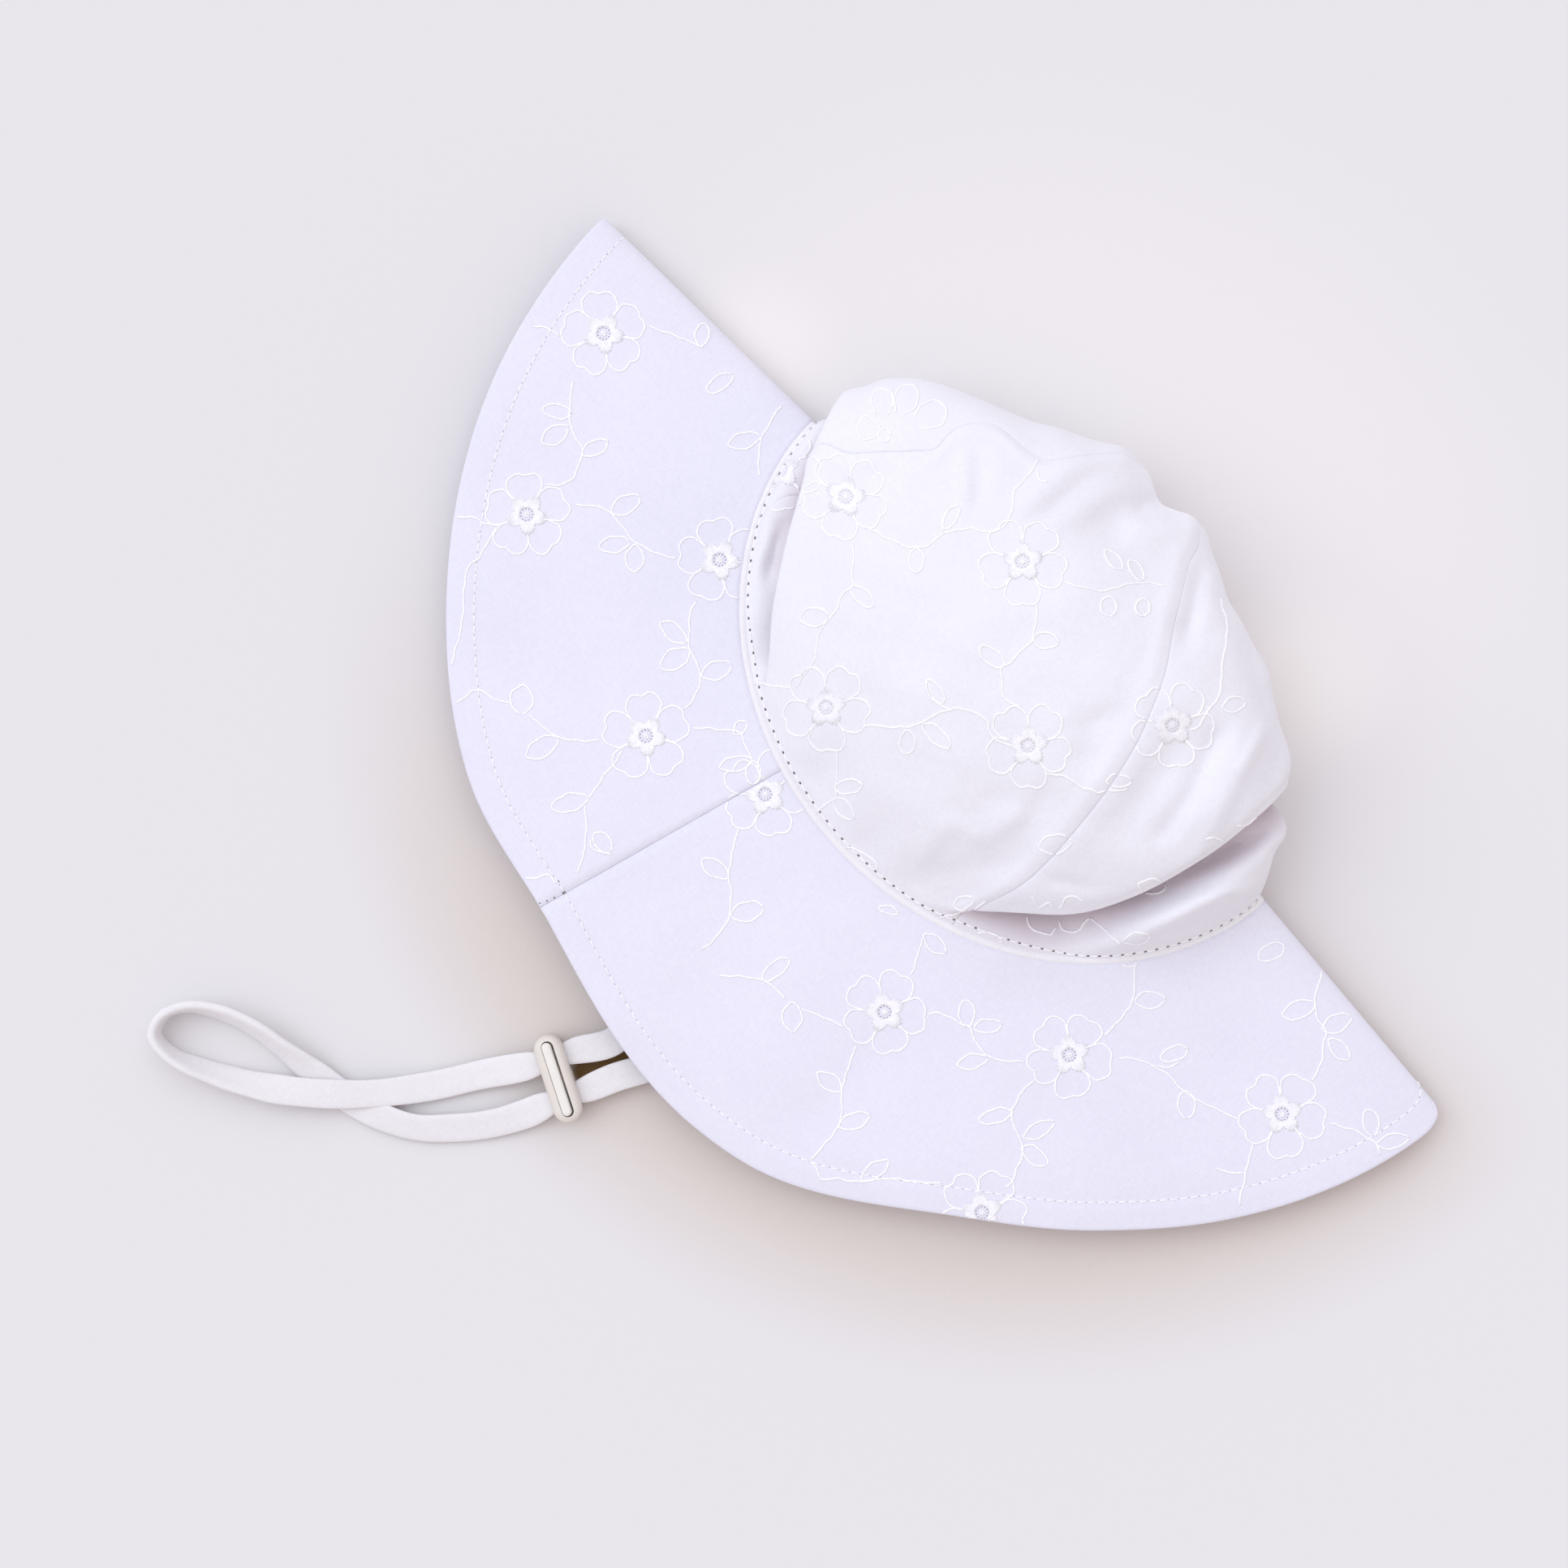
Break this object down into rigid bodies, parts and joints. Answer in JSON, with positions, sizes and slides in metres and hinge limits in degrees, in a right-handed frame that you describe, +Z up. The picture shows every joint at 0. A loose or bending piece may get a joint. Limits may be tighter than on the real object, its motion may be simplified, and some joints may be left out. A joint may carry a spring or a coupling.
{
  "type": "baby sun hat",
  "caption": "Soft embroidered cotton sun hat for a baby, lying folded on its side, with a puffed crown, a wide doubled brim and a chin strap with a plastic slider.",
  "frame": {"origin": "on the surface the hat lies on, under the middle of the head opening's fold, on the lower side panel", "axes": "+Z up from the surface, +Y from the head opening to the top of the crown, +X along the fold of the brim"},
  "size_m": [0.3118, 0.2821, 0.0536],
  "materials": {
    "crown_cotton": "soft plain-woven white cotton with white embroidery",
    "brim_cotton": "stiffened plain-woven white cotton with white embroidery",
    "welt_cotton": "white cotton binding, topstitched",
    "strap_cotton": "soft white knitted cotton tube",
    "slider_plastic": "moulded cream plastic, satin"
  },
  "bodies": {
    "root": {"crown_side_left": "crown_cotton", "crown_side_right": "crown_cotton", "crown_centre": "crown_cotton", "head_welt": "welt_cotton", "brim_front": "brim_cotton", "brim_back": "brim_cotton", "chin_strap": "strap_cotton", "slider_shell": "slider_plastic", "slider_bar": "slider_plastic"}
  },
  "joints": []
}
